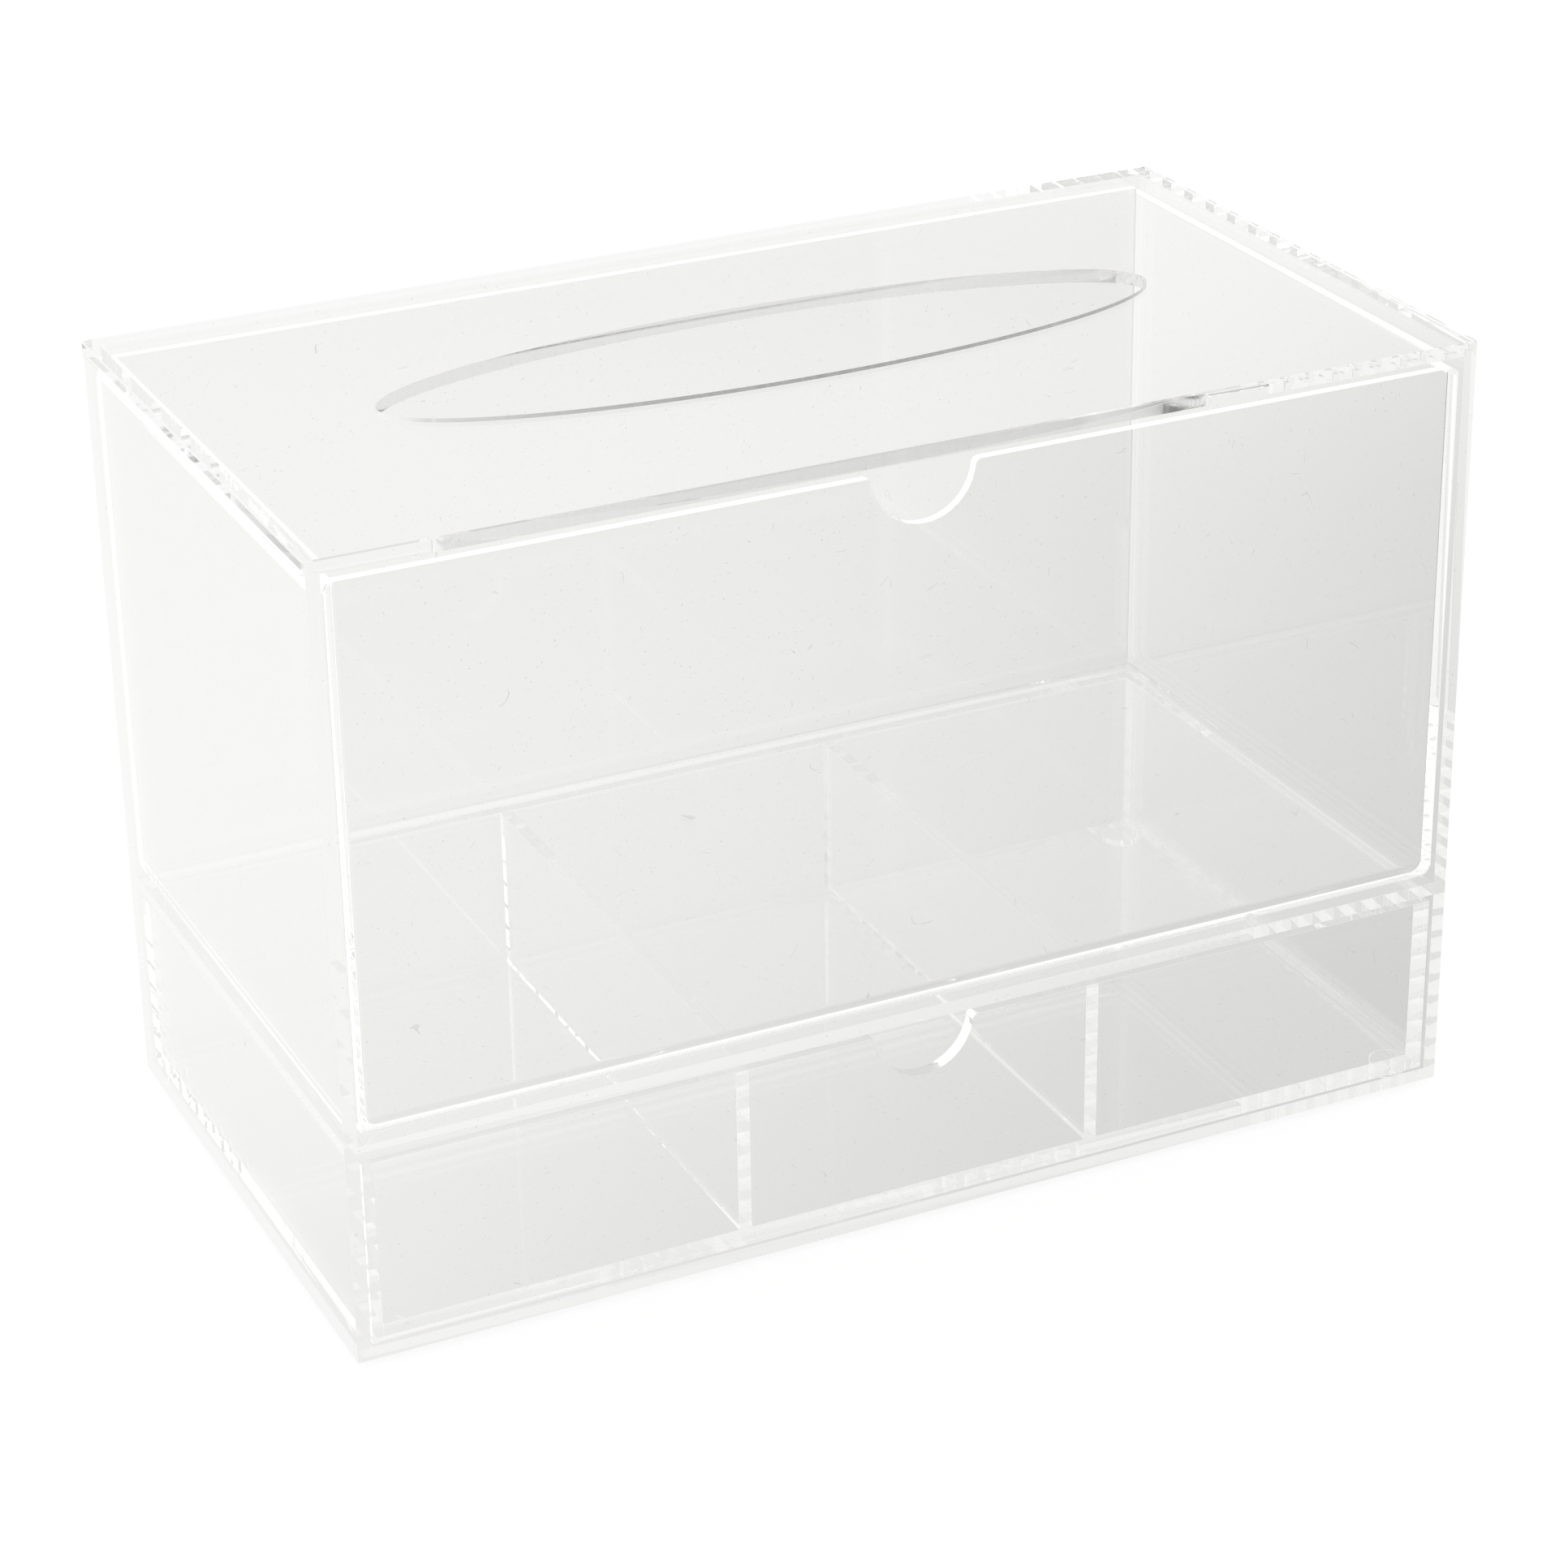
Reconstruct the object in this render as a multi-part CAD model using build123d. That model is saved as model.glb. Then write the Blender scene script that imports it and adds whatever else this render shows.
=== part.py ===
from build123d import *
import os

# Desk organizer in clear acrylic: a glued case, a deep moulded drawer under a
# tissue slot, and a shallow glued drawer with three compartments below it.
# Millimetres, +Z up. The drawers pull out towards -Y. The origin lies midway
# across the case, on the plane that its feet stand on.

os.makedirs("parts", exist_ok=True)

# ---- Case -------------------------------------------------------------------
case_width = 260.0          # over the top panel
case_depth = 138.0
case_sheet = 3.0            # every case panel is cut from this sheet
top_overhang = 0.4          # top panel beyond each side wall
upper_bay_height = 123.0    # clear height for the deep drawer
lower_bay_height = 44.0     # clear height for the shallow drawer
top_corner_round = 1.0      # top panel, seen from above
top_edge_break = 0.3        # top panel, around its upper face

# ---- Tissue slot, an ellipse in the middle of the top panel -----------------
slot_length = 178.0
slot_width = 46.0

# ---- Feet, clear self-adhesive bumpers --------------------------------------
foot_diameter = 9.0
foot_height = 2.0
foot_inset = 8.0            # foot centre to the outer faces of the walls
foot_edge_round = 0.8

# ---- Clearances around the drawers ------------------------------------------
side_gap = 0.6              # drawer to side wall, each side
under_gap = 0.3             # drawer floor to the panel that it slides on
front_setback = 0.5         # drawer front behind the case's front edge
rear_gap = 0.5              # drawer back to back wall
upper_top_gap = 2.2         # deep drawer's rim to the top panel
lower_top_gap = 1.7         # shallow drawer's rim to the middle shelf

# ---- Thumb notch in each drawer's front -------------------------------------
notch_radius = 11.5
notch_corner_round = 1.5

# ---- Deep drawer, one moulding ----------------------------------------------
mould_wall = 2.0
mould_corner_round = 0.6    # upright outer edges
mould_foot_round = 4.0      # outer edges around the floor
mould_inner_corner = 0.5
mould_inner_foot = 3.0
mould_rim_round = 2.5       # outer edge of the rim along each side

# ---- Shallow drawer, glued from sheet ---------------------------------------
drawer_sheet = 3.0
bay_count = 3               # compartments of equal width

# ---- Positions that follow from the sizes above -----------------------------
front_y = -case_depth / 2
rear_y = case_depth / 2
back_wall_y = rear_y - case_sheet               # inner face of the back wall
wall_x = case_width / 2 - top_overhang          # outer face of the right wall
bay_x = wall_x - case_sheet                     # inner face of the right wall

bottom_z = foot_height                          # underside of the bottom panel
lower_bay_z = bottom_z + case_sheet
shelf_z = lower_bay_z + lower_bay_height        # underside of the middle shelf
upper_bay_z = shelf_z + case_sheet
top_z = upper_bay_z + upper_bay_height          # underside of the top panel

drawer_x = bay_x - side_gap                     # both drawers: right-hand face
drawer_front_y = front_y + front_setback
drawer_back_y = back_wall_y - rear_gap

upper_drawer_z = upper_bay_z + under_gap
upper_rim_z = top_z - upper_top_gap
lower_drawer_z = lower_bay_z + under_gap
lower_rim_z = shelf_z - lower_top_gap

nodes = {}


def slab(x0, x1, y0, y1, z0, z1):
    """A square-cornered block between pairs of planes."""
    block = Box(x1 - x0, y1 - y0, z1 - z0)
    return Pos((x0 + x1) / 2, (y0 + y1) / 2, (z0 + z1) / 2) * block


def upright_edges(solid):
    return solid.edges().filter_by(Axis.Z)


def floor_edges(solid):
    return solid.faces().sort_by(Axis.Z)[0].edges()


def with_notch(panel, y0, y1, rim_z):
    """Cut the half-round thumb notch down from a drawer front's rim."""
    reach = y1 - y0 + notch_corner_round        # cuts clear of both faces
    cutter = Cylinder(notch_radius, reach, rotation=(90, 0, 0))
    panel = panel - Pos(0, (y0 + y1) / 2, rim_z) * cutter
    mouth = [
        edge
        for edge in panel.edges().filter_by(Axis.Y)
        if abs(edge.center().Z - rim_z) < notch_corner_round / 2
        and abs(abs(edge.center().X) - notch_radius) < notch_corner_round / 2
    ]
    return fillet(mouth, notch_corner_round)


# ---- Case panels ------------------------------------------------------------
# Bottom, walls and back are butt-jointed with square edges. The top panel caps
# them all and is the only one with its outer edges eased.
top_panel = slab(-case_width / 2, case_width / 2, front_y, rear_y,
                 top_z, top_z + case_sheet)
top_panel = fillet(upright_edges(top_panel), top_corner_round)
top_panel = chamfer(top_panel.faces().sort_by(Axis.Z)[-1].edges(), top_edge_break)
slot = extrude(Ellipse(slot_length / 2, slot_width / 2), case_sheet)
nodes["top_panel"] = top_panel - Pos(0, 0, top_z) * slot

nodes["bottom_panel"] = slab(-wall_x, wall_x, front_y, rear_y,
                             bottom_z, lower_bay_z)
nodes["back_wall"] = slab(-wall_x, wall_x, back_wall_y, rear_y,
                          lower_bay_z, top_z)
nodes["left_wall"] = slab(-wall_x, -bay_x, front_y, back_wall_y,
                          lower_bay_z, top_z)
nodes["right_wall"] = slab(bay_x, wall_x, front_y, back_wall_y,
                           lower_bay_z, top_z)
nodes["middle_shelf"] = slab(-bay_x, bay_x, front_y, back_wall_y,
                             shelf_z, upper_bay_z)

# ---- Feet -------------------------------------------------------------------
foot = Pos(0, 0, foot_height / 2) * Cylinder(foot_diameter / 2, foot_height)
foot = fillet(foot.faces().sort_by(Axis.Z)[0].edges(), foot_edge_round)
foot_x = wall_x - foot_inset
foot_y = rear_y - foot_inset
for side, x in (("left", -foot_x), ("right", foot_x)):
    for end, y in (("front", -foot_y), ("rear", foot_y)):
        nodes[f"foot_{end}_{side}"] = Pos(x, y, 0) * foot

# ---- Deep drawer ------------------------------------------------------------
# An open box with rounded corners and floor edges, moulded in one. Its rim is
# rounded over along the sides, which rounds the front's upper corners as well.
tub = slab(-drawer_x, drawer_x, drawer_front_y, drawer_back_y,
           upper_drawer_z, upper_rim_z)
tub = fillet(upright_edges(tub), mould_corner_round)
tub = fillet(floor_edges(tub), mould_foot_round)
outline = slab(-drawer_x, drawer_x,
               drawer_front_y - mould_wall, drawer_back_y + mould_wall,
               upper_drawer_z - mould_wall, upper_rim_z)
rim_edges = outline.faces().sort_by(Axis.Z)[-1].edges().filter_by(Axis.Y)
tub = tub & fillet(rim_edges, mould_rim_round)

hollow = slab(-drawer_x + mould_wall, drawer_x - mould_wall,
              drawer_front_y + mould_wall, drawer_back_y - mould_wall,
              upper_drawer_z + mould_wall, upper_rim_z)
hollow = fillet(upright_edges(hollow), mould_inner_corner)
hollow = fillet(floor_edges(hollow), mould_inner_foot)

nodes["upper_drawer"] = with_notch(
    tub - hollow, drawer_front_y, drawer_front_y + mould_wall, upper_rim_z)

# ---- Shallow drawer ---------------------------------------------------------
# The front and back cover the ends of the sides and floor. The dividers stand
# on the floor between front and back.
inner_front_y = drawer_front_y + drawer_sheet
inner_back_y = drawer_back_y - drawer_sheet
inner_x = drawer_x - drawer_sheet
floor_top_z = lower_drawer_z + drawer_sheet

nodes["drawer_front"] = with_notch(
    slab(-drawer_x, drawer_x, drawer_front_y, inner_front_y,
         lower_drawer_z, lower_rim_z),
    drawer_front_y, inner_front_y, lower_rim_z)
nodes["drawer_back"] = slab(-drawer_x, drawer_x, inner_back_y, drawer_back_y,
                            lower_drawer_z, lower_rim_z)
nodes["drawer_left_side"] = slab(-drawer_x, -inner_x, inner_front_y,
                                 inner_back_y, lower_drawer_z, lower_rim_z)
nodes["drawer_right_side"] = slab(inner_x, drawer_x, inner_front_y,
                                  inner_back_y, lower_drawer_z, lower_rim_z)
nodes["drawer_floor"] = slab(-inner_x, inner_x, inner_front_y, inner_back_y,
                             lower_drawer_z, floor_top_z)

bay_width = (2 * inner_x - (bay_count - 1) * drawer_sheet) / bay_count
for number, name in enumerate(("divider_left", "divider_right"), start=1):
    x = -inner_x + number * bay_width + (number - 1) * drawer_sheet
    nodes[name] = slab(x, x + drawer_sheet, inner_front_y, inner_back_y,
                       floor_top_z, lower_rim_z)

# ---- One STEP file per piece ------------------------------------------------
for name, solid in nodes.items():
    solid.label = name
    export_step(solid, f"parts/{name}.step")
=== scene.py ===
import math

import bpy
from bpy.props import (
    FloatProperty,
    FloatVectorProperty,
    IntProperty,
    PointerProperty,
)
from mathutils import Matrix, Vector


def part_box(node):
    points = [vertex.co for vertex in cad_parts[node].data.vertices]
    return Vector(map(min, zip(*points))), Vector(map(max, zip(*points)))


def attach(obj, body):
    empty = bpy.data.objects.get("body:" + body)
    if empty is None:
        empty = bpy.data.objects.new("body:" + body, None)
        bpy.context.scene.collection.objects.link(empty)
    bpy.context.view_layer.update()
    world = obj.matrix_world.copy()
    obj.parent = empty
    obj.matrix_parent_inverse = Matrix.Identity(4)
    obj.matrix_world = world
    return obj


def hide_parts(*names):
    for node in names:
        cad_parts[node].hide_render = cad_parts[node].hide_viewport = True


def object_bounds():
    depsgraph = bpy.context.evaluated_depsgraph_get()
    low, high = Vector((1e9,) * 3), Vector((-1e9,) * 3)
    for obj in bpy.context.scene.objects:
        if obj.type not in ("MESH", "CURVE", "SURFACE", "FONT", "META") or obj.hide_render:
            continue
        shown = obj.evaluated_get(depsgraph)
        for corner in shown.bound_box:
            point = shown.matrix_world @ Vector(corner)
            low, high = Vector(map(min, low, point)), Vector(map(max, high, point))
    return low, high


bl_info = {
    "name": "Clear Desk Organizer",
    "version": (1, 0, 0),
    "blender": (4, 5, 0),
    "location": "View3D > Sidebar > Organizer",
    "description": "Clear acrylic desk organizer with a tissue slot and two drawers",
    "category": "Object",
}

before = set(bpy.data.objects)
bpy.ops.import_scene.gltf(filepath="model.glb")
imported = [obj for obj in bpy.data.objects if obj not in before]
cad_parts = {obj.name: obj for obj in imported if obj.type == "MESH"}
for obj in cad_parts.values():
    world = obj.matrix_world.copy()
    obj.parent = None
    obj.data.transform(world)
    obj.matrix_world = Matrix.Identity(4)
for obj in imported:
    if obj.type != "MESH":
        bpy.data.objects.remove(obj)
CAD_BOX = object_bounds()

CASE_SHEETS = (
    "bottom_panel",
    "back_wall",
    "left_wall",
    "right_wall",
    "middle_shelf",
)
FEET = ("foot_front_left", "foot_front_right", "foot_rear_left", "foot_rear_right")
DRAWER_SHEETS = (
    "drawer_floor",
    "drawer_back",
    "drawer_left_side",
    "drawer_right_side",
    "divider_left",
    "divider_right",
)
WELD = 1e-6  # vertices closer than this are one

# Facets along the rounds
SHEET_FACETS = 2
CORNER_FACETS = 6
MOULD_FACETS = 8
FOOT_FACETS = 5
SLOT_SIDES = 256
NOTCH_SIDES = 128
BAR_SIDES = 64  # feet, and the bars that cut rounds
TABLE_SIDES = 96

SLOT_MARGIN = 0.0005  # the slot's wall is looked for this far outside the oval
SMOOTH_ANGLE = math.radians(35)
AREA_WEIGHT = 100  # large faces alone set the shading of the edges beside them

# Cells to the metre of the slower noises
HAZE_SCALE = 35.0
RIPPLE_SCALE = 22.0
HAIR_GAP_SCALE = 190.0
SCORE_SCALE = 900.0
SCORE_STRETCH = (1.0, 1.0, 0.05)  # draws the scores out along the sheet's thickness

# Where on each noise the patches, specks and hairs begin and are full
HAZE_RANGE = (0.7, 0.85)
SPECK_RANGE = (0.84, 0.86)
HAIR_WIDTH = (0.003, 0.007)
HAIR_LENGTH = (0.79, 0.81)
SCORE_RANGE = (0.3, 0.7)

# Shares of red, green and blue, each times a tone
SPECK_TINT = (1.0, 0.98, 0.95)
SAWN_TINT = (1.0, 1.0, 0.99)
SCORE_TINT = (0.9, 0.9, 0.89)


# ---- Settings ---------------------------------------------------------------
class OrganizerShape(bpy.types.PropertyGroup):
    edge_round: FloatProperty(
        name="Edge Round",
        description="Radius worn on every cut edge of the sheets",
        default=0.00005,
        min=0.0,
        unit="LENGTH",
        precision=5,
    )
    top_corner: FloatProperty(
        name="Top Corner",
        description="Radius of the top panel's corners, seen from above",
        default=0.001,
        unit="LENGTH",
    )
    top_break: FloatProperty(
        name="Top Edge Break",
        description="Chamfer around the top panel's upper face",
        default=0.0003,
        unit="LENGTH",
        precision=4,
    )
    slot_length: FloatProperty(
        name="Slot Length",
        description="Long axis of the oval tissue slot",
        default=0.178,
        unit="LENGTH",
    )
    slot_width: FloatProperty(
        name="Slot Width",
        description="Short axis of the oval tissue slot",
        default=0.046,
        unit="LENGTH",
    )
    notch_radius: FloatProperty(
        name="Notch Radius",
        description="Radius of the thumb notch in each drawer front",
        default=0.0115,
        unit="LENGTH",
    )
    notch_corner: FloatProperty(
        name="Notch Corner",
        description="Radius where the notch meets the rim",
        default=0.0015,
        unit="LENGTH",
    )
    foot_round: FloatProperty(
        name="Foot Round",
        description="Radius around the bottom of each foot",
        default=0.0008,
        unit="LENGTH",
        precision=4,
    )
    air_film: FloatProperty(
        name="Air Film",
        description="Film of air above and below each foot",
        default=0.00002,
        unit="LENGTH",
        precision=5,
    )
    mould_wall: FloatProperty(
        name="Moulded Wall",
        description="Wall of the deep drawer",
        default=0.002,
        unit="LENGTH",
    )
    mould_corner: FloatProperty(
        name="Moulded Corner",
        description="Radius of the deep drawer's upright corners",
        default=0.0006,
        unit="LENGTH",
    )
    mould_foot: FloatProperty(
        name="Moulded Foot",
        description="Radius around the deep drawer's floor",
        default=0.004,
        unit="LENGTH",
    )
    mould_rim: FloatProperty(
        name="Moulded Rim",
        description="Radius over the deep drawer's rim along each side",
        default=0.0025,
        unit="LENGTH",
    )
    inner_corner: FloatProperty(
        name="Inner Corner",
        description="Radius of the deep drawer's inner upright corners",
        default=0.0005,
        unit="LENGTH",
    )
    inner_foot: FloatProperty(
        name="Inner Foot",
        description="Radius around the deep drawer's inner floor",
        default=0.003,
        unit="LENGTH",
    )


class OrganizerFinish(bpy.types.PropertyGroup):
    sheet_ior: FloatProperty(
        name="Acrylic IOR",
        description="Refractive index of the clear plastic",
        default=1.49,
        min=1.0,
        max=2.0,
    )
    haze: FloatProperty(
        name="Haze",
        description="Roughness of the dullest patches of the polished faces",
        default=0.008,
    )
    ripple: FloatProperty(
        name="Moulding Ripple",
        description="Height of the slow waves in the moulded drawer's faces",
        default=0.0000005,
        unit="LENGTH",
        precision=7,
    )
    flatness: FloatProperty(
        name="Sheet Ripple",
        description="Height of the slow waves in the sheets' faces",
        default=0.0000002,
        unit="LENGTH",
        precision=7,
    )
    speck_scale: FloatProperty(
        name="Speck Scale",
        description="Cells to the metre of the noise that scatters the dust specks",
        default=1400.0,
    )
    hair_scale: FloatProperty(
        name="Hair Scale",
        description="Cells to the metre of the noise that draws the short hairs",
        default=120.0,
    )
    speck_tone: FloatProperty(
        name="Speck Tone",
        description="How dark the specks and hairs are, 0 for black",
        default=0.75,
    )
    sawn_roughness: FloatProperty(
        name="Sawn Roughness",
        description="Roughness of the slot's sawn wall",
        default=0.1,
    )
    sawn_tone: FloatProperty(
        name="Sawn Tone",
        description="Share of light that the slot's sawn wall lets through",
        default=0.78,
    )
    notch_roughness: FloatProperty(
        name="Notch Roughness",
        description="Roughness of the walls of the thumb notches",
        default=0.05,
    )
    notch_tone: FloatProperty(
        name="Notch Tone",
        description="Share of light that the walls of the thumb notches let through",
        default=0.95,
    )
    score_depth: FloatProperty(
        name="Score Depth",
        description="Depth of the fine scores on a sawn wall",
        default=0.000002,
        unit="LENGTH",
        precision=7,
    )
    held_bounces: IntProperty(
        name="Held Bounces",
        description="Bounces after which light counts as trapped in the plastic",
        default=32,
    )
    # The two glows below are painted light: an emission on the plastic where a path
    # reaches held_bounces, not light from a lamp.
    case_painted_glow: FloatProperty(
        name="Case Glow",
        description="Brightness of the light that leaves the case's edges",
        default=0.95,
    )
    drawer_painted_glow: FloatProperty(
        name="Drawer Glow",
        description="Brightness of the light that leaves the drawers' edges",
        default=1.25,
    )


class OrganizerStage(bpy.types.PropertyGroup):
    lens: FloatProperty(
        name="Lens",
        description="Focal length on a 36 mm sensor",
        default=97.25,
        unit="CAMERA",
    )
    azimuth: FloatProperty(
        name="Azimuth",
        description="Camera's turn from the front, towards the right",
        default=math.radians(-25.241),
        subtype="ANGLE",
    )
    elevation: FloatProperty(
        name="Elevation",
        description="Camera's height above the horizon",
        default=math.radians(25.552),
        subtype="ANGLE",
    )
    roll: FloatProperty(
        name="Roll",
        description="Camera's tilt about its own line of sight",
        default=math.radians(-0.909),
        subtype="ANGLE",
    )
    distance: FloatProperty(
        name="Distance",
        description="Camera to the middle of the case",
        default=0.9283,
        unit="LENGTH",
    )
    slide_right: FloatProperty(
        name="Slide Right",
        description="Camera's offset to its own right",
        default=0.0007,
        unit="LENGTH",
    )
    slide_up: FloatProperty(
        name="Slide Up",
        description="Camera's offset upwards in its own frame",
        default=-0.01383,
        unit="LENGTH",
    )
    floor_radius: FloatProperty(
        name="Floor Radius",
        description="Radius of the table that the organizer stands on",
        default=4.0,
        unit="LENGTH",
    )
    # The table's tones below are painted light and painted shadow in its emission, seen
    # through the plastic: a falloff, a shadow band and a darker outer tone.
    table_light: FloatProperty(
        name="Table Light",
        description="Brightness of the table under the organizer",
        default=0.77,
    )
    falloff_depth: FloatProperty(
        name="Falloff Depth",
        description="Change in the table's brightness towards its dim side",
        default=0.176,
    )
    falloff_reach: FloatProperty(
        name="Falloff Reach",
        description="Distance over which the table's brightness changes",
        default=0.115,
        unit="LENGTH",
    )
    dim_azimuth: FloatProperty(
        name="Dim Side",
        description="Direction of the table's dim side, from the front to the right",
        default=math.radians(39.1),
        subtype="ANGLE",
    )
    band_depth: FloatProperty(
        name="Band Depth",
        description="Strength of the shadow band across the dim side",
        default=0.43,
    )
    band_place: FloatProperty(
        name="Band Place",
        description="Distance of the shadow band from the organizer's middle",
        default=0.508,
        unit="LENGTH",
    )
    band_width: FloatProperty(
        name="Band Width",
        description="Half the width of the shadow band",
        default=0.18,
        unit="LENGTH",
    )
    table_start: FloatProperty(
        name="Table Edge Start",
        description="Radius at which the table starts to turn to its outer tone",
        default=0.6,
        unit="LENGTH",
    )
    table_end: FloatProperty(
        name="Table Edge End",
        description="Radius at which the table has its outer tone",
        default=1.6,
        unit="LENGTH",
    )
    table_edge_light: FloatProperty(
        name="Table Edge Light",
        description="Brightness of the table's outer part",
        default=0.331,
    )
    contact_shadow: FloatProperty(
        name="Contact Shadow",
        description="Strength of the faint shadow around the feet",
        default=0.1,
    )
    front_light: FloatProperty(
        name="Front Light",
        description="Brightness of the room in front of the organizer",
        default=0.499,
    )
    back_light: FloatProperty(
        name="Back Light",
        description="Brightness of the backdrop behind the organizer",
        default=1.007,
    )
    right_light: FloatProperty(
        name="Right Light",
        description="Brightness of the room to the organizer's right",
        default=0.828,
    )
    left_light: FloatProperty(
        name="Left Light",
        description="Brightness of the large light to the organizer's left",
        default=1.05,
    )
    ceiling_light: FloatProperty(
        name="Ceiling Light",
        description="Brightness overhead",
        default=0.749,
    )
    wall_top: FloatProperty(
        name="Wall Top",
        description="Elevation at which the room starts to turn to the ceiling's tone",
        default=math.radians(5),
        subtype="ANGLE",
    )
    ceiling_edge: FloatProperty(
        name="Ceiling Edge",
        description="Elevation above which only the ceiling shows",
        default=math.radians(54),
        subtype="ANGLE",
    )
    light_colour: FloatVectorProperty(
        name="Light Colour",
        description="Colour of the light on the table and from the room",
        subtype="COLOR",
        default=(1.0, 0.998, 0.98),
    )


# ---- Mesh helpers -----------------------------------------------------------
def activate(obj):
    bpy.ops.object.select_all(action="DESELECT")
    obj.select_set(True)
    bpy.context.view_layer.objects.active = obj


def block(name, low, high):
    """A cube stretched between two opposite corners."""
    low, high = Vector(low), Vector(high)
    bpy.ops.object.select_all(action="DESELECT")
    bpy.ops.mesh.primitive_cube_add(size=1, location=(low + high) / 2)
    obj = bpy.context.object
    obj.name = name
    obj.scale = high - low
    bpy.ops.object.transform_apply(location=True, rotation=True, scale=True)
    snap(obj)
    return obj


def snap(obj):
    """Put every vertex on a whole micron, so that glued faces meet exactly."""
    for vertex in obj.data.vertices:
        vertex.co = [round(c / WELD) * WELD for c in vertex.co]


def sheet(name, ease):
    """A panel of sheet in the place of a CAD node, its cut edges eased."""
    panel = block(name, *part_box(name))
    bevel_edges(panel, lambda a, b: 1.0, ease, SHEET_FACETS)
    snap(panel)
    return panel


def top_sheet(shape):
    """The top panel, its corners rounded and its upper edge broken."""
    low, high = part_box("top_panel")
    panel = block("top_panel", low, high)
    top_z = high[2] - WELD

    def upright(a, b):
        return float(abs(a.z - b.z) > WELD)

    def upper(a, b):
        return float(min(a.z, b.z) > top_z)

    bevel_edges(panel, upright, shape.top_corner, CORNER_FACETS)
    bevel_edges(panel, upper, shape.top_break, 1)
    snap(panel)
    halve(panel)
    cutter = slot_cutter(shape, low[2], high[2], shape.edge_round)
    combine(panel, cutter, "DIFFERENCE")
    return panel


def mark_notch_wall(obj, shape, rim_z):
    """Give the second material to the faces of the thumb notch's wall."""
    reach = shape.notch_radius + shape.notch_corner
    for face in obj.data.polygons:
        x, y, z = face.center
        inside = math.hypot(x, z - rim_z) < reach
        if inside and y < 0 and abs(face.normal.y) < 0.5 and z < rim_z - WELD:
            face.material_index = 1


def mark_slot_wall(obj, shape):
    """Give the second material to the faces of the slot's upright wall."""
    a = shape.slot_length / 2 + SLOT_MARGIN
    b = shape.slot_width / 2 + SLOT_MARGIN
    under_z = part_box("top_panel")[0][2]
    for face in obj.data.polygons:
        x, y, z = face.center
        inside = (x / a) ** 2 + (y / b) ** 2 < 1
        if inside and z > under_z and abs(face.normal.z) < 0.5:
            face.material_index = 1


def combine(obj, other, operation):
    """Boolean obj with other and drop other."""
    activate(obj)
    modifier = obj.modifiers.new("Combine", "BOOLEAN")
    modifier.object = other
    modifier.operation = operation
    modifier.solver = "EXACT"
    bpy.ops.object.modifier_apply(modifier=modifier.name)
    bpy.data.objects.remove(other)


def apply_modifiers(obj):
    activate(obj)
    for modifier in list(obj.modifiers):
        bpy.ops.object.modifier_apply(modifier=modifier.name)


def merge_close(obj):
    activate(obj)
    bpy.ops.object.mode_set(mode="EDIT")
    bpy.ops.mesh.select_all(action="SELECT")
    bpy.ops.mesh.remove_doubles(threshold=WELD)
    bpy.ops.object.mode_set(mode="OBJECT")


def bevel_edges(obj, weights, width, segments):
    """Round the edges that weights() picks, by a share of width each."""
    mesh = obj.data
    layer = mesh.attributes.get("bevel_weight_edge")
    if layer is None:
        layer = mesh.attributes.new("bevel_weight_edge", "FLOAT", "EDGE")
    for edge in mesh.edges:
        a, b = (mesh.vertices[i].co for i in edge.vertices)
        layer.data[edge.index].value = weights(a, b)
    modifier = obj.modifiers.new("Round", "BEVEL")
    modifier.limit_method = "WEIGHT"
    modifier.width = width
    modifier.segments = segments
    modifier.use_clamp_overlap = False
    apply_modifiers(obj)
    merge_close(obj)


def smooth_flat(obj):
    """Smooth the rounds and keep the large faces dead flat."""
    activate(obj)
    bpy.ops.object.shade_smooth_by_angle(angle=SMOOTH_ANGLE)
    modifier = obj.modifiers.new("Flat", "WEIGHTED_NORMAL")
    modifier.mode = "FACE_AREA"
    modifier.weight = AREA_WEIGHT
    modifier.keep_sharp = True
    apply_modifiers(obj)


def halve(obj):
    """Cut every face along the middle planes, so that none has a hole in it."""
    activate(obj)
    bpy.ops.object.mode_set(mode="EDIT")
    for normal in ((1, 0, 0), (0, 1, 0)):
        bpy.ops.mesh.select_all(action="SELECT")
        bpy.ops.mesh.bisect(plane_co=(0, 0, 0), plane_no=normal)
    bpy.ops.object.mode_set(mode="OBJECT")


def slot_cutter(shape, z0, z1, ease):
    """An oval bar that flares by the eased edge where it leaves the sheet."""
    bpy.ops.object.select_all(action="DESELECT")
    bpy.ops.mesh.primitive_cylinder_add(
        vertices=SLOT_SIDES,
        radius=0.5,
        depth=z1 - z0 - 2 * ease,
        location=(0, 0, (z0 + z1) / 2),
    )
    cutter = bpy.context.object
    cutter.scale = (shape.slot_length, shape.slot_width, 1)
    bpy.ops.object.transform_apply(location=True, rotation=True, scale=True)
    flare = (
        1 + 2 * ease / shape.slot_length,
        1 + 2 * ease / shape.slot_width,
        1,
    )
    for side in (-1, 1):
        bpy.ops.object.mode_set(mode="EDIT")
        bpy.ops.mesh.select_mode(type="FACE")
        bpy.ops.mesh.select_all(action="DESELECT")
        bpy.ops.object.mode_set(mode="OBJECT")
        for face in cutter.data.polygons:
            face.select = face.normal.z * side > 0.9
        bpy.ops.object.mode_set(mode="EDIT")
        bpy.ops.mesh.extrude_region_move(
            TRANSFORM_OT_translate={"value": (0, 0, side * ease)}
        )
        bpy.ops.transform.resize(value=flare)
        bpy.ops.mesh.extrude_region_move(
            TRANSFORM_OT_translate={"value": (0, 0, side * (z1 - z0))}
        )
        bpy.ops.object.mode_set(mode="OBJECT")
    return cutter


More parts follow.
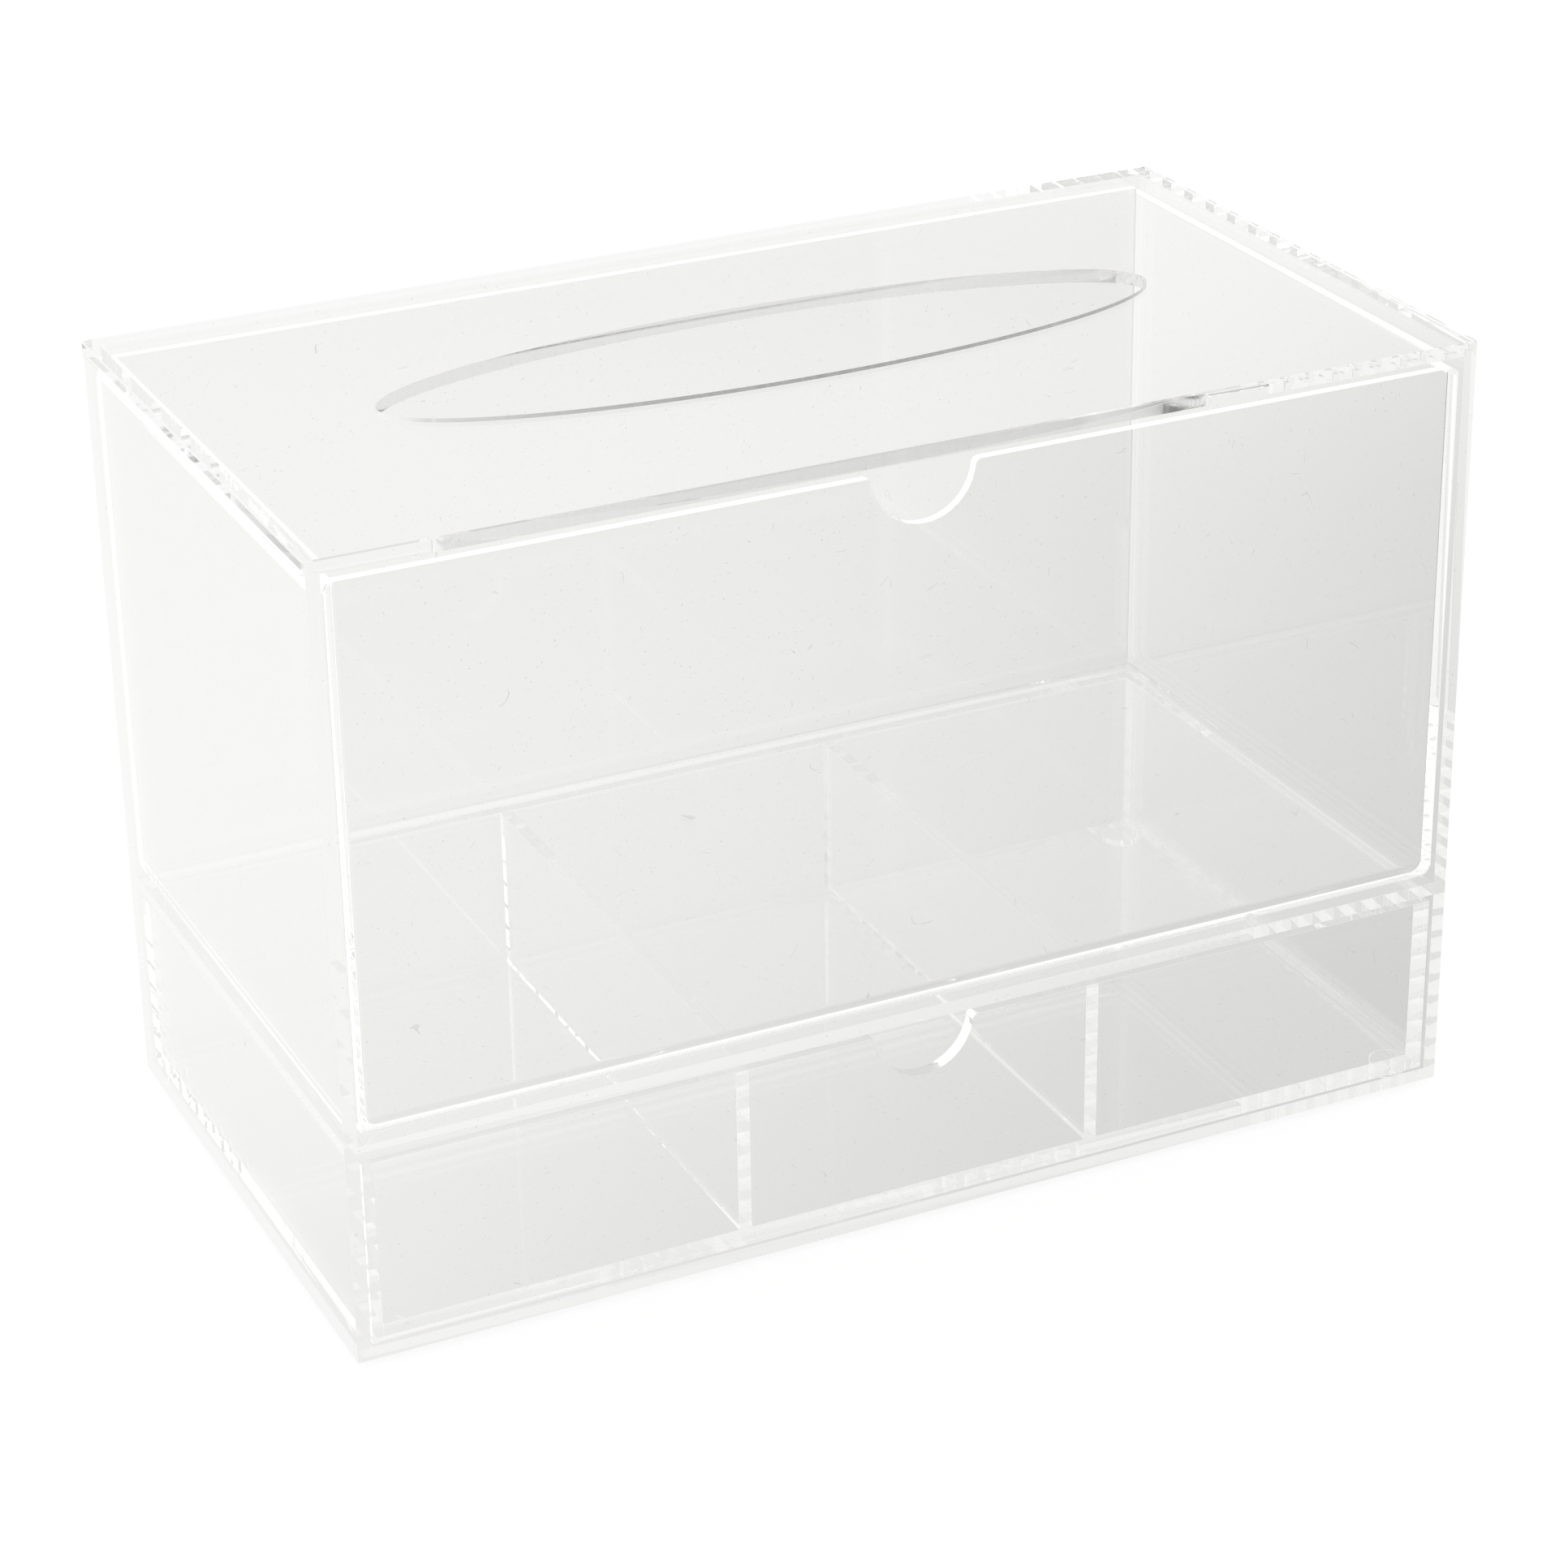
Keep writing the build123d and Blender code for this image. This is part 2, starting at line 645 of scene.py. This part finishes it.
def notch_cutter(shape, y0, y1, rim_z):
    """A bar with the thumb notch's outline, corner rounds included."""
    r, c = shape.notch_radius, shape.notch_corner
    bpy.ops.object.select_all(action="DESELECT")
    bpy.ops.mesh.primitive_cylinder_add(
        vertices=NOTCH_SIDES,
        radius=r,
        depth=y1 - y0,
        location=(0, (y0 + y1) / 2, rim_z),
        rotation=(math.pi / 2, 0, 0),
    )
    cutter = bpy.context.object
    bpy.ops.object.transform_apply(location=True, rotation=True, scale=True)
    # Each mouth corner is rounded by an arc that touches both the notch and the rim.
    arc_x = math.sqrt((r + c) ** 2 - c**2)
    touch_z = rim_z - c * r / (r + c)
    for side in (-1, 1):
        ends = sorted((side * (arc_x * r / (r + c) - c / 2), side * arc_x))
        corner = block("corner", (ends[0], y0, touch_z), (ends[1], y1, rim_z + c))
        bpy.ops.mesh.primitive_cylinder_add(
            vertices=BAR_SIDES,
            radius=c,
            depth=(y1 - y0) * 1.5,
            location=(side * arc_x, (y0 + y1) / 2, rim_z - c),
            rotation=(math.pi / 2, 0, 0),
        )
        round_bar = bpy.context.object
        bpy.ops.object.transform_apply(location=True, rotation=True, scale=True)
        combine(corner, round_bar, "DIFFERENCE")
        combine(cutter, corner, "UNION")
    return cutter


def rim_cutter(side_x, low, high, radius):
    """A bar that rounds the upper edge of a box along one of its sides."""
    centre_x = side_x + math.copysign(radius, -side_x)
    end_x = side_x + math.copysign(radius, side_x)
    bar = block(
        "rim",
        (min(centre_x, end_x), low.y - radius, high.z - radius),
        (max(centre_x, end_x), high.y + radius, high.z + radius),
    )
    bpy.ops.mesh.primitive_cylinder_add(
        vertices=BAR_SIDES,
        radius=radius,
        depth=2 * (high.y - low.y),
        location=(centre_x, (low.y + high.y) / 2, high.z - radius),
        rotation=(math.pi / 2, 0, 0),
    )
    round_bar = bpy.context.object
    bpy.ops.object.transform_apply(location=True, rotation=True, scale=True)
    combine(bar, round_bar, "DIFFERENCE")
    return bar


# ---- Materials --------------------------------------------------------------
def grain(tree, place, scale):
    """Smooth noise of one octave, cells to the metre."""
    node = add_node(
        tree, "ShaderNodeTexNoise", {"Vector": place, "Scale": scale, "Detail": 0.0}
    )
    return node.outputs["Fac"]


def paint_trapped_glow(material, held_bounces, brightness):
    """Paint a glow on the plastic where a path reaches held_bounces: painted light that
    lets out, as an even glow, the light a perfect panel would hold for ever.
    Real sheet scatters a little inside, so that its edges shine; the painted glow stands
    in for that and lights the edges."""
    tree = material.node_tree
    depth = add_node(tree, "ShaderNodeLightPath").outputs["Ray Depth"]
    held = maths(tree, "COMPARE", depth, held_bounces, 0.5)
    # Painted glow: emission of this brightness at that one bounce.
    glow = maths(tree, "MULTIPLY", held, brightness)
    tree.links.new(
        glow, tree.nodes["Principled BSDF"].inputs["Emission Strength"]
    )
    material.cycles.emission_sampling = "NONE"


def clear_plastic(name, finish, ripple, glow):
    """Clear plastic with a little haze, slow ripples, dust specks and hairs."""
    material = bpy.data.materials.new(name)
    material.use_nodes = True
    tree = material.node_tree
    shader = tree.nodes["Principled BSDF"]
    shader.inputs["Transmission Weight"].default_value = 1
    shader.inputs["IOR"].default_value = finish.sheet_ior
    place = add_node(tree, "ShaderNodeTexCoord").outputs["Object"]

    haze = fade(tree, grain(tree, place, HAZE_SCALE), *HAZE_RANGE, 0.0, finish.haze)
    tree.links.new(haze, shader.inputs["Roughness"])

    specks = fade(
        tree, grain(tree, place, finish.speck_scale), *SPECK_RANGE, 0.0, 1.0
    )
    middle = maths(
        tree,
        "ABSOLUTE",
        maths(tree, "SUBTRACT", grain(tree, place, finish.hair_scale), 0.5),
    )
    lines = fade(tree, middle, *HAIR_WIDTH, 1.0, 0.0)
    lengths = fade(tree, grain(tree, place, HAIR_GAP_SCALE), *HAIR_LENGTH, 0.0, 1.0)
    hairs = maths(tree, "MULTIPLY", lines, lengths)
    tone = finish.speck_tone
    colour = add_node(
        tree,
        "ShaderNodeMix",
        {
            "Factor": maths(tree, "MAXIMUM", specks, hairs),
            6: (1, 1, 1, 1),
            7: (*(tone * share for share in SPECK_TINT), 1),
        },
        data_type="RGBA",
    )
    tree.links.new(colour.outputs[2], shader.inputs["Base Color"])

    bump = add_node(
        tree,
        "ShaderNodeBump",
        {"Height": grain(tree, place, RIPPLE_SCALE), "Distance": ripple},
    )
    tree.links.new(bump.outputs[0], shader.inputs["Normal"])
    # Adds a painted glow: an emission where a path reaches held_bounces.
    paint_trapped_glow(material, finish.held_bounces, glow)
    return material


def sawn_plastic(name, finish, tone, roughness, glow):
    """A wall cut across the sheet, a little dull and finely scored."""
    material = bpy.data.materials.new(name)
    material.use_nodes = True
    tree = material.node_tree
    shader = tree.nodes["Principled BSDF"]
    shader.inputs["Transmission Weight"].default_value = 1
    shader.inputs["IOR"].default_value = finish.sheet_ior
    place = add_node(tree, "ShaderNodeTexCoord").outputs["Object"]
    across = add_node(
        tree,
        "ShaderNodeVectorMath",
        {0: place, 1: SCORE_STRETCH},
        operation="MULTIPLY",
    )
    scores = grain(tree, across.outputs[0], SCORE_SCALE)
    colour = add_node(
        tree,
        "ShaderNodeMix",
        {
            "Factor": scores,
            6: (*(tone * share for share in SCORE_TINT), 1),
            7: (*(tone * share for share in SAWN_TINT), 1),
        },
        data_type="RGBA",
    )
    tree.links.new(colour.outputs[2], shader.inputs["Base Color"])
    dull = fade(tree, scores, *SCORE_RANGE, 0.5 * roughness, roughness)
    tree.links.new(dull, shader.inputs["Roughness"])
    bump = add_node(
        tree, "ShaderNodeBump", {"Height": scores, "Distance": finish.score_depth}
    )
    tree.links.new(bump.outputs[0], shader.inputs["Normal"])
    # Adds a painted glow: an emission where a path reaches held_bounces.
    paint_trapped_glow(material, finish.held_bounces, glow)
    return material


def add_node(tree, kind, values=(), **settings):
    """A node with its settings, and numbers or links for its inputs."""
    node = tree.nodes.new(kind)
    for name, value in settings.items():
        setattr(node, name, value)
    for key, value in dict(values).items():
        if isinstance(value, bpy.types.NodeSocket):
            tree.links.new(value, node.inputs[key])
        else:
            node.inputs[key].default_value = value
    return node


def maths(tree, operation, *values):
    """The result of a Math node on numbers or links."""
    values = dict(enumerate(values))
    return add_node(tree, "ShaderNodeMath", values, operation=operation).outputs[0]


def fade(tree, value, start, end, at_start, at_end):
    """A smooth change from one level to another as value goes from start to end."""
    node = add_node(
        tree,
        "ShaderNodeMapRange",
        {
            "Value": value,
            "From Min": start,
            "From Max": end,
            "To Min": at_start,
            "To Max": at_end,
        },
        interpolation_type="SMOOTHSTEP",
    )
    return node.outputs["Result"]


def painted_light_table(stage):
    """Pale table whose glow, seen through the plastic, is painted light: bright at the
    back left as under a large light there, dim towards the front right, with a painted
    shadow band across the dim side.
    What shows of it directly is overexposed to an even white, with a faint contact
    shadow."""
    material = bpy.data.materials.new("Pale table")
    material.use_nodes = True
    tree = material.node_tree
    tree.nodes.clear()
    place = add_node(tree, "ShaderNodeTexCoord").outputs["Object"]
    split = add_node(tree, "ShaderNodeSeparateXYZ", {0: place}).outputs
    # Painted light: the table's glow falls off towards the dim side.
    away = maths(
        tree,
        "SUBTRACT",
        maths(tree, "MULTIPLY", split["X"], math.sin(stage.dim_azimuth)),
        maths(tree, "MULTIPLY", split["Y"], math.cos(stage.dim_azimuth)),
    )
    falloff = maths(tree, "TANH", maths(tree, "DIVIDE", away, stage.falloff_reach))
    level = maths(
        tree,
        "SUBTRACT",
        stage.table_light,
        maths(tree, "MULTIPLY", falloff, stage.falloff_depth),
    )
    # Painted shadow: a band across the dim side, darker by band_depth.
    offset = maths(
        tree,
        "DIVIDE",
        maths(tree, "SUBTRACT", away, stage.band_place),
        stage.band_width,
    )
    offset_squared = maths(tree, "MULTIPLY", offset, offset)
    painted_shadow_band = maths(tree, "POWER", math.e, maths(tree, "MULTIPLY", offset_squared, -1.0))
    level = maths(
        tree, "SUBTRACT", level, maths(tree, "MULTIPLY", painted_shadow_band, stage.band_depth)
    )
    # Painted tone: farther out, the table turns to its darker outer tone.
    radius = add_node(tree, "ShaderNodeVectorMath", {0: place}, operation="LENGTH")
    outer = fade(
        tree, radius.outputs["Value"], stage.table_start, stage.table_end, 0.0, 1.0
    )
    inner_part = maths(tree, "MULTIPLY", level, maths(tree, "SUBTRACT", 1.0, outer))
    outer_part = maths(tree, "MULTIPLY", outer, stage.table_edge_light)
    seen_in_plastic = add_node(
        tree,
        "ShaderNodeEmission",
        {
            "Color": (*stage.light_colour, 1),
            "Strength": maths(tree, "ADD", inner_part, outer_part),
        },
    )
    white = add_node(
        tree, "ShaderNodeEmission", {"Strength": 1 - stage.contact_shadow}
    )
    grey = 2 * stage.contact_shadow
    paper = add_node(tree, "ShaderNodeBsdfDiffuse", {"Color": (grey, grey, grey, 1)})
    direct = add_node(
        tree, "ShaderNodeAddShader", {0: white.outputs[0], 1: paper.outputs[0]}
    )
    camera_ray = add_node(tree, "ShaderNodeLightPath").outputs["Is Camera Ray"]
    mix = add_node(
        tree,
        "ShaderNodeMixShader",
        {0: camera_ray, 1: seen_in_plastic.outputs[0], 2: direct.outputs[0]},
    )
    add_node(tree, "ShaderNodeOutputMaterial", {"Surface": mix.outputs[0]})
    return material


def studio_world(stage):
    """A room with its own brightness on each side, and a ceiling of one tone."""
    world = bpy.data.worlds.new("Studio")
    world.use_nodes = True
    tree = world.node_tree
    tree.nodes.clear()
    direction = add_node(tree, "ShaderNodeTexCoord").outputs["Generated"]
    x, y, z = add_node(tree, "ShaderNodeSeparateXYZ", {0: direction}).outputs
    flat = maths(
        tree, "ADD", maths(tree, "MULTIPLY", x, x), maths(tree, "MULTIPLY", y, y)
    )
    level = 0.0
    for along, sign, light in (
        (x, 1.0, stage.right_light),
        (x, -1.0, stage.left_light),
        (y, 1.0, stage.back_light),
        (y, -1.0, stage.front_light),
    ):
        towards = maths(tree, "MAXIMUM", maths(tree, "MULTIPLY", along, sign), 0.0)
        share = maths(
            tree, "DIVIDE", maths(tree, "MULTIPLY", towards, towards), flat
        )
        level = maths(tree, "ADD", maths(tree, "MULTIPLY", share, light), level)
    high = fade(
        tree,
        maths(tree, "ARCSINE", z),
        stage.wall_top,
        stage.ceiling_edge,
        0.0,
        1.0,
    )
    low_part = maths(tree, "MULTIPLY", level, maths(tree, "SUBTRACT", 1.0, high))
    level = maths(
        tree, "ADD", low_part, maths(tree, "MULTIPLY", high, stage.ceiling_light)
    )
    background = add_node(
        tree,
        "ShaderNodeBackground",
        {"Color": (*stage.light_colour, 1), "Strength": level},
    )
    add_node(tree, "ShaderNodeOutputWorld", {"Surface": background.outputs[0]})
    return world


# ---- Operators --------------------------------------------------------------
class ORGANIZER_OT_case(bpy.types.Operator):
    """Case panels, glued into one clear piece"""

    bl_idname = "organizer.case"
    bl_label = "Welded Case"

    def execute(self, context):
        shape = context.scene.organizer_shape
        finish = context.scene.organizer_finish
        ease = shape.edge_round
        case = sheet(CASE_SHEETS[0], ease)
        case.name = "welded_case"
        for name in CASE_SHEETS[1:]:
            combine(case, sheet(name, ease), "UNION")
        combine(case, top_sheet(shape), "UNION")
        merge_close(case)
        smooth_flat(case)
        case.data.materials.clear()
        case.data.materials.append(
            clear_plastic(
                "Clear acrylic sheet", finish, finish.flatness, finish.case_painted_glow
            )
        )
        case.data.materials.append(
            sawn_plastic(
                "Sawn slot wall",
                finish,
                finish.sawn_tone,
                finish.sawn_roughness,
                finish.case_painted_glow,
            )
        )
        mark_slot_wall(case, shape)
        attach(case, "case")
        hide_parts("top_panel", *CASE_SHEETS)
        return {"FINISHED"}


class ORGANIZER_OT_feet(bpy.types.Operator):
    """Soft clear bumpers under the corners"""

    bl_idname = "organizer.feet"
    bl_label = "Feet"

    def execute(self, context):
        shape = context.scene.organizer_shape
        finish = context.scene.organizer_finish
        rubber = clear_plastic(
            "Clear bumper", finish, finish.ripple, finish.case_painted_glow
        )
        low, high = (Vector(v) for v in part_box(FEET[0]))
        tall = high.z - low.z - 2 * shape.air_film
        bpy.ops.object.select_all(action="DESELECT")
        bpy.ops.mesh.primitive_cylinder_add(
            vertices=BAR_SIDES, radius=(high.x - low.x) / 2, depth=tall
        )
        pattern = bpy.context.object
        bevel_edges(
            pattern,
            lambda a, b: float(max(a.z, b.z) < 0),
            shape.foot_round,
            FOOT_FACETS,
        )
        smooth_flat(pattern)
        pattern.data.materials.append(rubber)
        for name in FEET:
            low, high = (Vector(v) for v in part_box(name))
            foot = pattern.copy()
            foot.data = pattern.data.copy()
            foot.name = name.replace("foot", "bumper")
            context.collection.objects.link(foot)
            foot.location = (low + high) / 2
            activate(foot)
            bpy.ops.object.transform_apply(location=True, rotation=True, scale=True)
            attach(foot, "case")
            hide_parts(name)
        bpy.data.objects.remove(pattern)
        return {"FINISHED"}


class ORGANIZER_OT_deep_drawer(bpy.types.Operator):
    """Deep drawer, moulded in one piece"""

    bl_idname = "organizer.deep_drawer"
    bl_label = "Moulded Drawer"

    def execute(self, context):
        shape = context.scene.organizer_shape
        finish = context.scene.organizer_finish
        low, high = (Vector(v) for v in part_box("upper_drawer"))
        wall = shape.mould_wall

        def rounds(bottom_z, upright, foot):
            """Weights for an open box: its uprights and the edges of its floor."""
            most = max(upright, foot)

            def weight(a, b):
                if abs(a.z - b.z) > WELD:
                    return upright / most
                return foot / most if abs(a.z - bottom_z) < WELD else 0.0

            return weight, most

        drawer = block("moulded_drawer", low, high)
        weight, most = rounds(low.z, shape.mould_corner, shape.mould_foot)
        bevel_edges(drawer, weight, most, MOULD_FACETS)
        inner_low = low + Vector((wall, wall, wall))
        inner_high = Vector((high.x - wall, high.y - wall, high.z + wall))
        hollow = block("hollow", inner_low, inner_high)
        weight, most = rounds(inner_low.z, shape.inner_corner, shape.inner_foot)
        bevel_edges(hollow, weight, most, MOULD_FACETS)
        combine(drawer, hollow, "DIFFERENCE")
        for side in (low.x, high.x):
            combine(drawer, rim_cutter(side, low, high, shape.mould_rim), "DIFFERENCE")
        cutter = notch_cutter(shape, low.y - wall, low.y + 2 * wall, high.z)
        combine(drawer, cutter, "DIFFERENCE")
        merge_close(drawer)
        smooth_flat(drawer)
        drawer.data.materials.clear()
        drawer.data.materials.append(
            clear_plastic(
                "Clear moulding", finish, finish.ripple, finish.drawer_painted_glow
            )
        )
        drawer.data.materials.append(
            sawn_plastic(
                "Deep notch wall",
                finish,
                finish.notch_tone,
                finish.notch_roughness,
                finish.drawer_painted_glow,
            )
        )
        mark_notch_wall(drawer, shape, high.z)
        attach(drawer, "upper_drawer")
        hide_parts("upper_drawer")
        return {"FINISHED"}


class ORGANIZER_OT_divided_drawer(bpy.types.Operator):
    """Shallow drawer with three compartments, glued from sheet"""

    bl_idname = "organizer.divided_drawer"
    bl_label = "Divided Drawer"

    def execute(self, context):
        shape = context.scene.organizer_shape
        finish = context.scene.organizer_finish
        low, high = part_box("drawer_front")
        ease = shape.edge_round
        drawer = sheet("drawer_front", ease)
        drawer.name = "divided_drawer"
        wall = high[1] - low[1]
        halve(drawer)
        cutter = notch_cutter(shape, low[1] - wall, high[1] + wall, high[2])
        combine(drawer, cutter, "DIFFERENCE")
        for name in DRAWER_SHEETS:
            combine(drawer, sheet(name, ease), "UNION")
        merge_close(drawer)
        smooth_flat(drawer)
        drawer.data.materials.clear()
        drawer.data.materials.append(
            clear_plastic(
                "Clear drawer sheet", finish, finish.flatness, finish.drawer_painted_glow
            )
        )
        drawer.data.materials.append(
            sawn_plastic(
                "Shallow notch wall",
                finish,
                finish.notch_tone,
                finish.notch_roughness,
                finish.drawer_painted_glow,
            )
        )
        mark_notch_wall(drawer, shape, high[2])
        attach(drawer, "lower_drawer")
        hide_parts("drawer_front", *DRAWER_SHEETS)
        return {"FINISHED"}


class ORGANIZER_OT_stage(bpy.types.Operator):
    """Pale floor, soft studio light and the camera"""

    bl_idname = "organizer.stage"
    bl_label = "Stage"

    def execute(self, context):
        scene = context.scene
        stage = scene.organizer_stage
        bpy.ops.object.select_all(action="DESELECT")
        bpy.ops.mesh.primitive_circle_add(
            vertices=TABLE_SIDES,
            radius=stage.floor_radius,
            fill_type="NGON",
            location=(0, 0, 0),
        )
        floor = bpy.context.object
        floor.name = "floor"
        floor.data.materials.append(painted_light_table(stage))
        scene.world = studio_world(stage)

        low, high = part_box(FEET[0])
        foot_height = high[2] - low[2]
        centre = Vector((0, 0, (CAD_BOX[1][2] + foot_height) / 2))
        back = Vector(
            (
                math.sin(stage.azimuth) * math.cos(stage.elevation),
                -math.cos(stage.azimuth) * math.cos(stage.elevation),
                math.sin(stage.elevation),
            )
        )
        right = (-back).cross(Vector((0, 0, 1))).normalized()
        up = right.cross(-back)
        c, s = math.cos(stage.roll), math.sin(stage.roll)
        right, up = c * right + s * up, c * up - s * right
        place = centre + stage.distance * back
        place += stage.slide_right * right + stage.slide_up * up
        bpy.ops.object.camera_add(location=place)
        camera = bpy.context.object
        camera.name = "camera"
        turn = Matrix((right, up, back)).transposed().to_4x4()
        camera.matrix_world = Matrix.Translation(place) @ turn
        camera.data.lens = stage.lens
        camera.data.sensor_width = 36
        camera.data.sensor_fit = "HORIZONTAL"
        camera.data.clip_start = 0.05
        camera.data.clip_end = 20
        scene.camera = camera

        scene.view_settings.view_transform = "Standard"
        scene.view_settings.look = "None"
        bounces = scene.organizer_finish.held_bounces + 1
        scene.cycles.max_bounces = bounces
        scene.cycles.transmission_bounces = bounces
        scene.cycles.glossy_bounces = bounces
        return {"FINISHED"}


class ORGANIZER_PT_panel(bpy.types.Panel):
    """Lists the organizer's pieces and settings"""

    bl_label = "Desk Organizer"
    bl_space_type = "VIEW_3D"
    bl_region_type = "UI"
    bl_category = "Organizer"

    def draw(self, context):
        for group in ("organizer_shape", "organizer_finish", "organizer_stage"):
            settings = getattr(context.scene, group)
            for name in settings.__annotations__:
                self.layout.prop(settings, name)
        for piece in OPERATORS:
            self.layout.operator(piece.bl_idname)


OPERATORS = (
    ORGANIZER_OT_case,
    ORGANIZER_OT_feet,
    ORGANIZER_OT_deep_drawer,
    ORGANIZER_OT_divided_drawer,
    ORGANIZER_OT_stage,
)
CLASSES = (
    OrganizerShape,
    OrganizerFinish,
    OrganizerStage,
    *OPERATORS,
    ORGANIZER_PT_panel,
)


def register():
    for cls in CLASSES:
        bpy.utils.register_class(cls)
    bpy.types.Scene.organizer_shape = PointerProperty(type=OrganizerShape)
    bpy.types.Scene.organizer_finish = PointerProperty(type=OrganizerFinish)
    bpy.types.Scene.organizer_stage = PointerProperty(type=OrganizerStage)


def unregister():
    del bpy.types.Scene.organizer_stage
    del bpy.types.Scene.organizer_finish
    del bpy.types.Scene.organizer_shape
    for cls in reversed(CLASSES):
        bpy.utils.unregister_class(cls)


def main():
    register()
    bpy.ops.organizer.case()
    bpy.ops.organizer.feet()
    bpy.ops.organizer.deep_drawer()
    bpy.ops.organizer.divided_drawer()
    bpy.ops.organizer.stage()


if __name__ == "__main__":
    main()
